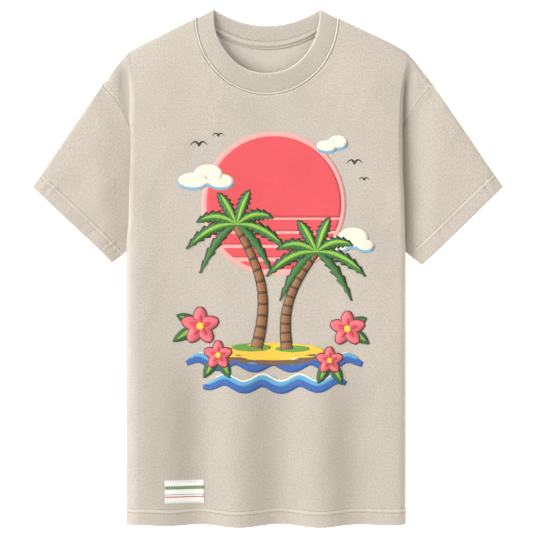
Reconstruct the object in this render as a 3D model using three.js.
// A short-sleeved T-shirt of heavy jersey, lying face up with its sleeves folded down.
// Millimetres. X runs across, Y from hem to collar, Z up from the surface that it lies on.
// The origin is on that surface, under the middle of the shirt.
import * as THREE from 'three'

// Driving dimensions, all given for the +X half: the shirt is the same on both sides.
const bodyHalfWidth = 203
const hemLevel = -375.3
const hemWave = { depth: 2.6, pitch: 118, crest: -41 }
const hemLift = { outer: 1, corner: 2 } // how much higher the hem lies towards its ends
const neckPoint = { x: 104.6, y: 366.2 } // where the collar seam crosses the shoulder fold
const shoulder = { x: 204, y: 317 }
const armholeTop = { x: 237, y: 274 }
const armpitLevel = 48
const cuffTop = { x: 343.5, y: 118.5 }
const cuffBottom = { x: 226.4, y: 7.5 }
const sleeveLength = 175
const collarRim = { x: 77.6, y: 378.8 } // peak of the rim beside the neck
const frontNeck = { seam: 255.9, rim: 285.5, roundness: 2.05 }
const backNeck = { seam: 325, rim: 355.6, roundness: 2.1 }
const tape = { width: 11, halfLength: 84, below: 4, thickness: 0.9, lift: 3 }
const label = { x: -120.6, y: -327, width: 57, height: 33.5, tilt: -0.018, thickness: 0.8 }

const cloth = 1.3
const hemCloth = 2.4
const hemDepth = 21
const ribCloth = 2.6
const seamGap = 0.35
const sideGap = 1.6 // between front and back beside their seam
const neckGap = 0.9 // between a neckline and the rib that finishes it

// Heights of the cloth above the surface
const foldHeight = 7 // half of the thickness at a folded edge
const foldGap = 1.3 // the seam allowance that parts front and back at the shoulder
const edgeReach = 60 // how far inside the shoulder fold the front is still rising
const backReach = 26
const rollWidth = 14 // the rounded side of the body, seen from above
const cuffHeight = 14
const armpitHeight = 7.5
const cuffFold = 5.5 // height of the sleeve's folded edges at the cuff
const frontRimHeight = 17

const jersey = { color: 0xd5cabd, roughness: 0.95, metalness: 0 }
const rib = { color: 0xcfc5b6, roughness: 0.95, metalness: 0 }
const satin = { color: 0xf6f5f2, roughness: 0.7, metalness: 0 }

const { lerp, clamp, smoothstep } = THREE.MathUtils

// A smooth curve of height or width against Y through a few chosen stations.
function through(...stations) {
  const secant = (i) => (stations[i + 1][1] - stations[i][1]) / (stations[i + 1][0] - stations[i][0])
  const slope = (i) => {
    if (i === 0 || i === stations.length - 1) return 0
    const before = secant(i - 1)
    const after = secant(i)
    return before * after > 0 ? (2 * before * after) / (before + after) : 0
  }
  return (y) => {
    const last = stations.length - 1
    if (y <= stations[0][0]) return stations[0][1]
    if (y >= stations[last][0]) return stations[last][1]
    const i = stations.findIndex((station) => station[0] > y) - 1
    const [y0, z0] = stations[i]
    const [y1, z1] = stations[i + 1]
    const span = y1 - y0
    const t = (y - y0) / span
    const ease = t * t * (3 - 2 * t)
    return lerp(z0, z1, ease) + span * t * (1 - t) * ((1 - t) * slope(i) - t * slope(i + 1))
  }
}

// Front of the body: its height along the centre line, and the armhole seam beside it.
const crown = through([-378, 18], [-250, 25], [0, 30], [150, 30], [256, 22], [320, 16], [380, 12])
const ridge = through([-378, bodyHalfWidth], [-20, bodyHalfWidth], [120, 200.5], [246, 197.5],
  [317, shoulder.x])
const stripWidth = armholeTop.x - ridge(armholeTop.y) // cloth beyond the side, to the armhole
const seamX = through([-378, 188], [0, 188], [armpitLevel, 178], [110, 181], [170, 188],
  [219, 199], [250, 216], [armholeTop.y, armholeTop.x])
const seamZ = through([-378, 0], [-8, 0], [24, 6], [armpitLevel, armpitHeight], [110, 9], [219, 10],
  [250, 9], [armholeTop.y, foldHeight + foldGap])
const backSeamX = through([-378, 188], [0, 188], [armpitLevel, 178], [110, 174], [180, 180],
  [235, 207], [armholeTop.y, armholeTop.x])

// Distance inside the folded edge that runs from the neck over the shoulder to the armhole.
function insideFold(x, y) {
  const inside = (from, to) => {
    const length = Math.hypot(to.x - from.x, to.y - from.y)
    return ((x - from.x) * (to.y - from.y) - (y - from.y) * (to.x - from.x)) / length
  }
  const overShoulder = inside(neckPoint, shoulder)
  const overArm = inside(shoulder, armholeTop)
  const soft = 10
  const mix = clamp(0.5 + (overArm - overShoulder) / (2 * soft), 0, 1)
  return lerp(overArm, overShoulder, mix) - soft * mix * (1 - mix)
}

// Quarter-round rise from 0 at an edge to 1 at the given reach.
const rise = (distance, reach) => Math.sqrt(1 - (1 - clamp(distance / reach, 0, 1)) ** 2)

function frontHeight(x, y) {
  const dome = crown(y) * (1 - 0.22 * (x / bodyHalfWidth) ** 2)
  const fold = foldHeight + foldGap
  return fold + (dome - fold) * rise(insideFold(x, y), edgeReach)
}

// The back lies flat, and lifts only to the shoulder fold.
const backHeight = (x, y) => (foldHeight - foldGap) * (1 - rise(insideFold(x, y), backReach))

const sleeveRise = (share) => (4 * clamp(share * (1 - share), 0, 0.25)) ** 0.3
const sleeveMiddle = (share, along) => lerp(lerp(armpitHeight, foldHeight, share), cuffFold, along)

// The cloth rounds the side of the body. Below the armpit it turns under to the side seam;
// beside the arm it turns back over the sleeve; near the shoulder it runs out flat.
function sideCurve(y) {
  const top = new THREE.Vector3(ridge(y) - rollWidth, y, frontHeight(ridge(y) - rollWidth, y))
  const end = new THREE.Vector3(stripEnd(y), y, y > armholeTop.y ? foldHeight + foldGap : seamZ(y))
  const turn = lerp(Math.PI, 0.3, smoothstep(y, 168, 250))
  const reach = lerp(8, ridge(y) + rollWidth / 3 - end.x, smoothstep(turn, Math.PI / 2, Math.PI))
  const over = new THREE.Vector3(ridge(y) + rollWidth / 3, y, top.z)
  const under = new THREE.Vector3(end.x - reach * Math.cos(turn), y, end.z + reach * Math.sin(turn))
  return new THREE.CubicBezierCurve3(top, over, under, end)
}

function stripEnd(y) {
  if (y <= armholeTop.y) return seamX(y)
  return lerp(armholeTop.x, shoulder.x, (y - armholeTop.y) / (shoulder.y - armholeTop.y))
}

function edgeAcross(y) {
  return y <= armholeTop.y ? ridge(y) + stripWidth : Math.max(stripEnd(y), ridge(y))
}

// Outer face of the front at a distance across the flat cloth and a level along it.
function frontPoint(across, y) {
  const distance = Math.abs(across)
  const start = ridge(y) - rollWidth
  const point = new THREE.Vector3(distance, y, frontHeight(distance, y))
  if (distance > start && y < shoulder.y) {
    const rolled = sideCurve(y).getPoint((distance - start) / (edgeAcross(y) - start))
    point.lerp(rolled, 1 - smoothstep(y, 280, shoulder.y))
  }
  point.x *= Math.sign(across)
  return point
}

const hemLine = (x) => {
  const wave = Math.cos((2 * Math.PI * (x - hemWave.crest)) / hemWave.pitch)
  const corner =
    hemLift.outer * smoothstep(Math.abs(x), 110, 160) + hemLift.corner * smoothstep(Math.abs(x), 190, 206)
  return hemLevel - hemWave.depth * wave * (1 - smoothstep(Math.abs(x), 90, 190)) + corner
}

// Front neckline or rim, a rounded U, for share -1 to 1 across the neck.
function neckline(share, neck, edge, level, gap) {
  const angle = (share * Math.PI) / 2
  const power = 2 / neck.roundness
  const x = Math.sign(share) * Math.abs(Math.sin(angle)) ** power * (edge.x + gap)
  const y = edge.y - gap - (edge.y - level) * Math.cos(angle) ** power
  return new THREE.Vector2(x, y)
}

const backCurve = (x, edge, level) =>
  edge.y - (edge.y - level) * (1 - Math.abs(x / edge.x) ** backNeck.roundness)

// A four-sided patch of flat cloth, filled in from its edges.
function patch(bottom, top, side) {
  return (u, v) => {
    const left = side(v)
    const right = new THREE.Vector2(-left.x, left.y)
    const cornerA = bottom(0)
    const cornerB = bottom(1)
    const cornerC = top(0)
    const cornerD = top(1)
    const rows = bottom(u).lerp(top(u), v)
    const columns = left.clone().lerp(right, u)
    const corners = cornerA.clone().lerp(cornerB, u).lerp(cornerC.clone().lerp(cornerD, u), v)
    return rows.add(columns).sub(corners)
  }
}

// Top edge of a panel: armhole corner, shoulder, neckline, and the same back down.
const armPart = 0.08
const neckPart = 0.25
function topEdge(neckEdge) {
  const half = (share) => {
    if (share < armPart) {
      const y = lerp(armholeTop.y, shoulder.y, share / armPart)
      return new THREE.Vector2(-edgeAcross(y), y)
    }
    const along = (share - armPart) / (neckPart - armPart)
    return new THREE.Vector2(-shoulder.x, shoulder.y)
      .lerp(new THREE.Vector2(-neckPoint.x - neckGap, neckPoint.y - neckGap), along)
  }
  return (u) => {
    if (u < neckPart) return half(u)
    if (u > 1 - neckPart) {
      const point = half(1 - u)
      return point.setX(-point.x)
    }
    return neckEdge((u - 0.5) / (0.5 - neckPart))
  }
}

// A sheet of cloth: a thin box whose outer face is bent onto a surface of u and v.
function sheet(columns, rows, surface, thickness) {
  const geometry = new THREE.BoxGeometry(1, 1, 1, columns, rows, 1)
  return bend(geometry, surface, thickness, (x, y, z) => [x + 0.5, y + 0.5, 0.5 - z])
}

// A ring of cloth: a lathed tube bent onto a surface of the turn round it and its length.
function ring(around, along, surface, thickness) {
  const outer = Array.from({ length: along + 1 }, (_, i) => new THREE.Vector2(2, i / along))
  const inner = outer.map((point) => new THREE.Vector2(1, point.y)).reverse()
  const geometry = new THREE.LatheGeometry([...outer, ...inner, outer[0]], around)
  return bend(geometry, surface, thickness, (x, y, z) => {
    const turn = Math.atan2(x, z) / (2 * Math.PI)
    return [y, turn < -1e-9 ? turn + 1 : Math.max(turn, 0), 2 - Math.hypot(x, z)]
  })
}

function bend(geometry, surface, thickness, locate) {
  const position = geometry.attributes.position
  const step = 1e-3
  for (let i = 0; i < position.count; i++) {
    const [u, v, depth] = locate(position.getX(i), position.getY(i), position.getZ(i))
    const alongU = surface(Math.min(u + step, 1), v).sub(surface(Math.max(u - step, 0), v))
    const alongV = surface(u, v + step).sub(surface(u, v - step))
    const outward = alongU.cross(alongV).normalize()
    const point = surface(u, v).addScaledVector(outward, -depth * thickness(u, v))
    position.setXYZ(i, point.x, point.y, point.z)
  }
  return facingOut(geometry)
}

// Turns every triangle round if together they enclose a negative volume.
function facingOut(geometry) {
  const { position } = geometry.attributes
  const corner = (i) => new THREE.Vector3().fromBufferAttribute(position, geometry.index.getX(i))
  let volume = 0
  for (let i = 0; i < geometry.index.count; i += 3) {
    volume += corner(i).dot(corner(i + 1).cross(corner(i + 2)))
  }
  if (volume < 0) geometry.index.array.reverse()
  return geometry
}

function frontPanel() {
  const bottom = (u) => {
    const across = lerp(-1, 1, u) * edgeAcross(hemLevel)
    return new THREE.Vector2(across, hemLine(across))
  }
  const side = (v) => {
    const y = lerp(bottom(0).y, armholeTop.y, v)
    return new THREE.Vector2(-edgeAcross(y), y)
  }
  const neck = (share) => neckline(share, frontNeck, neckPoint, frontNeck.seam, neckGap)
  const cut = patch(bottom, topEdge(neck), side)
  const surface = (u, v) => {
    const point = cut(u, clamp(v, 0, 1))
    return frontPoint(point.x, point.y)
  }
  const thickness = (u, v) => (cut(u, v).y < hemLevel + hemDepth ? hemCloth : cloth)
  return sheet(34, 30, surface, thickness)
}

function backPanel() {
  const gapAt = (y) => backSeamX(y) - sideGap * (1 - smoothstep(y, 200, armholeTop.y))
  const bottom = (u) => {
    const x = lerp(-1, 1, u) * gapAt(hemLevel)
    return new THREE.Vector2(x, hemLine(x))
  }
  const side = (v) => {
    const y = lerp(bottom(0).y, armholeTop.y, v)
    return new THREE.Vector2(-gapAt(y), y)
  }
  const neck = (share) => {
    const x = share * neckPoint.x
    const y = backCurve(x, neckPoint, backNeck.seam) - neckGap
    return new THREE.Vector2(x + share * neckGap, y)
  }
  const cut = patch(bottom, topEdge(neck), side)
  const surface = (u, v) => {
    const point = cut(1 - u, clamp(v, 0, 1))
    return new THREE.Vector3(point.x, point.y, backHeight(Math.abs(point.x), point.y))
  }
  const thickness = (u, v) => (cut(u, v).y < hemLevel + hemDepth ? hemCloth : cloth)
  return sheet(26, 26, surface, thickness)
}

function sleeve() {
  const surface = (along, turn) => {
    const angle = turn * 2 * Math.PI
    const onFront = Math.sin(angle) >= 0
    const share = (1 - Math.cos(angle)) / 2
    const y = lerp(armpitLevel, armholeTop.y, share)
    const seam = onFront ? seamX(y) : backSeamX(y)
    const start = new THREE.Vector3(seam + seamGap, y, onFront ? seamZ(y) - seamGap : 0)
    const cuff = { x: lerp(cuffBottom.x, cuffTop.x, share), y: lerp(cuffBottom.y, cuffTop.y, share) }
    const end = new THREE.Vector3(cuff.x, cuff.y, 0)
    const point = start.clone().lerp(end, along)
    const middle = sleeveMiddle(share, along)
    const crest = lerp(start.z, cuffHeight, smoothstep(along, 0.22, 1))
    point.z = onFront
      ? middle - seamGap * (1 - along) + (crest - middle) * sleeveRise(share)
      : middle * (1 - sleeveRise(share))
    return point
  }
  const hemShare = hemDepth / sleeveLength
  return ring(28, 9, surface, (along) => (along > 1 - hemShare ? hemCloth : cloth))
}

function collar() {
  const surface = (along, turn) => {
    const angle = turn * 2 * Math.PI
    const onFront = Math.sin(angle) >= 0
    const share = Math.cos(angle)
    const depth = Math.abs(Math.sin(angle))
    const seam = onFront
      ? neckline((Math.asin(clamp(share, -1, 1)) * 2) / Math.PI, frontNeck, neckPoint, frontNeck.seam, 0)
      : new THREE.Vector2(share * neckPoint.x, backCurve(share * neckPoint.x, neckPoint, backNeck.seam))
    const rim = onFront
      ? neckline((Math.asin(clamp(share, -1, 1)) * 2) / Math.PI, frontNeck, collarRim, frontNeck.rim, 0)
      : new THREE.Vector2(share * collarRim.x, backCurve(share * collarRim.x, collarRim, backNeck.rim))
    const seamHeight = (onFront ? frontHeight : backHeight)(Math.abs(seam.x), seam.y)
    const rimHeight = lerp(foldHeight - 1, onFront ? frontRimHeight : 0, depth ** 0.7)
    const point = seam.lerp(rim, along)
    return new THREE.Vector3(point.x, point.y, lerp(seamHeight, rimHeight, along))
  }
  return ring(54, 3, surface, () => ribCloth)
}

function neckTape() {
  const surface = (u, v) => {
    const x = lerp(-tape.halfLength, tape.halfLength, u)
    const y = backCurve(x, neckPoint, backNeck.seam) - tape.below + tape.width * v
    return new THREE.Vector3(x, y, backHeight(Math.abs(x), y) + tape.lift + tape.thickness)
  }
  return sheet(16, 2, surface, () => tape.thickness)
}

function hemLabel() {
  const surface = (u, v) => {
    const across = (u - 0.5) * label.width
    const up = (v - 0.5) * label.height
    const x = label.x + across * Math.cos(label.tilt) - up * Math.sin(label.tilt)
    const y = label.y + across * Math.sin(label.tilt) + up * Math.cos(label.tilt)
    const point = frontPoint(x, y)
    point.z += seamGap + label.thickness
    return point
  }
  return sheet(6, 4, surface, () => label.thickness)
}

function piece(name, geometry, finish) {
  const mesh = new THREE.Mesh(geometry, new THREE.MeshStandardMaterial(finish))
  mesh.name = name
  return mesh
}

function mirrored(geometry) {
  const turned = geometry.clone().scale(-1, 1, 1)
  return facingOut(turned)
}

const shirt = new THREE.Group()
shirt.add(piece('front_panel', frontPanel(), jersey))
shirt.add(piece('back_panel', backPanel(), jersey))
const rightSleeve = sleeve()
shirt.add(piece('sleeve_right', rightSleeve, jersey))
shirt.add(piece('sleeve_left', mirrored(rightSleeve), jersey))
shirt.add(piece('collar', collar(), rib))
shirt.add(piece('neck_tape', neckTape(), jersey))
shirt.add(piece('hem_label', hemLabel(), satin))

export default shirt
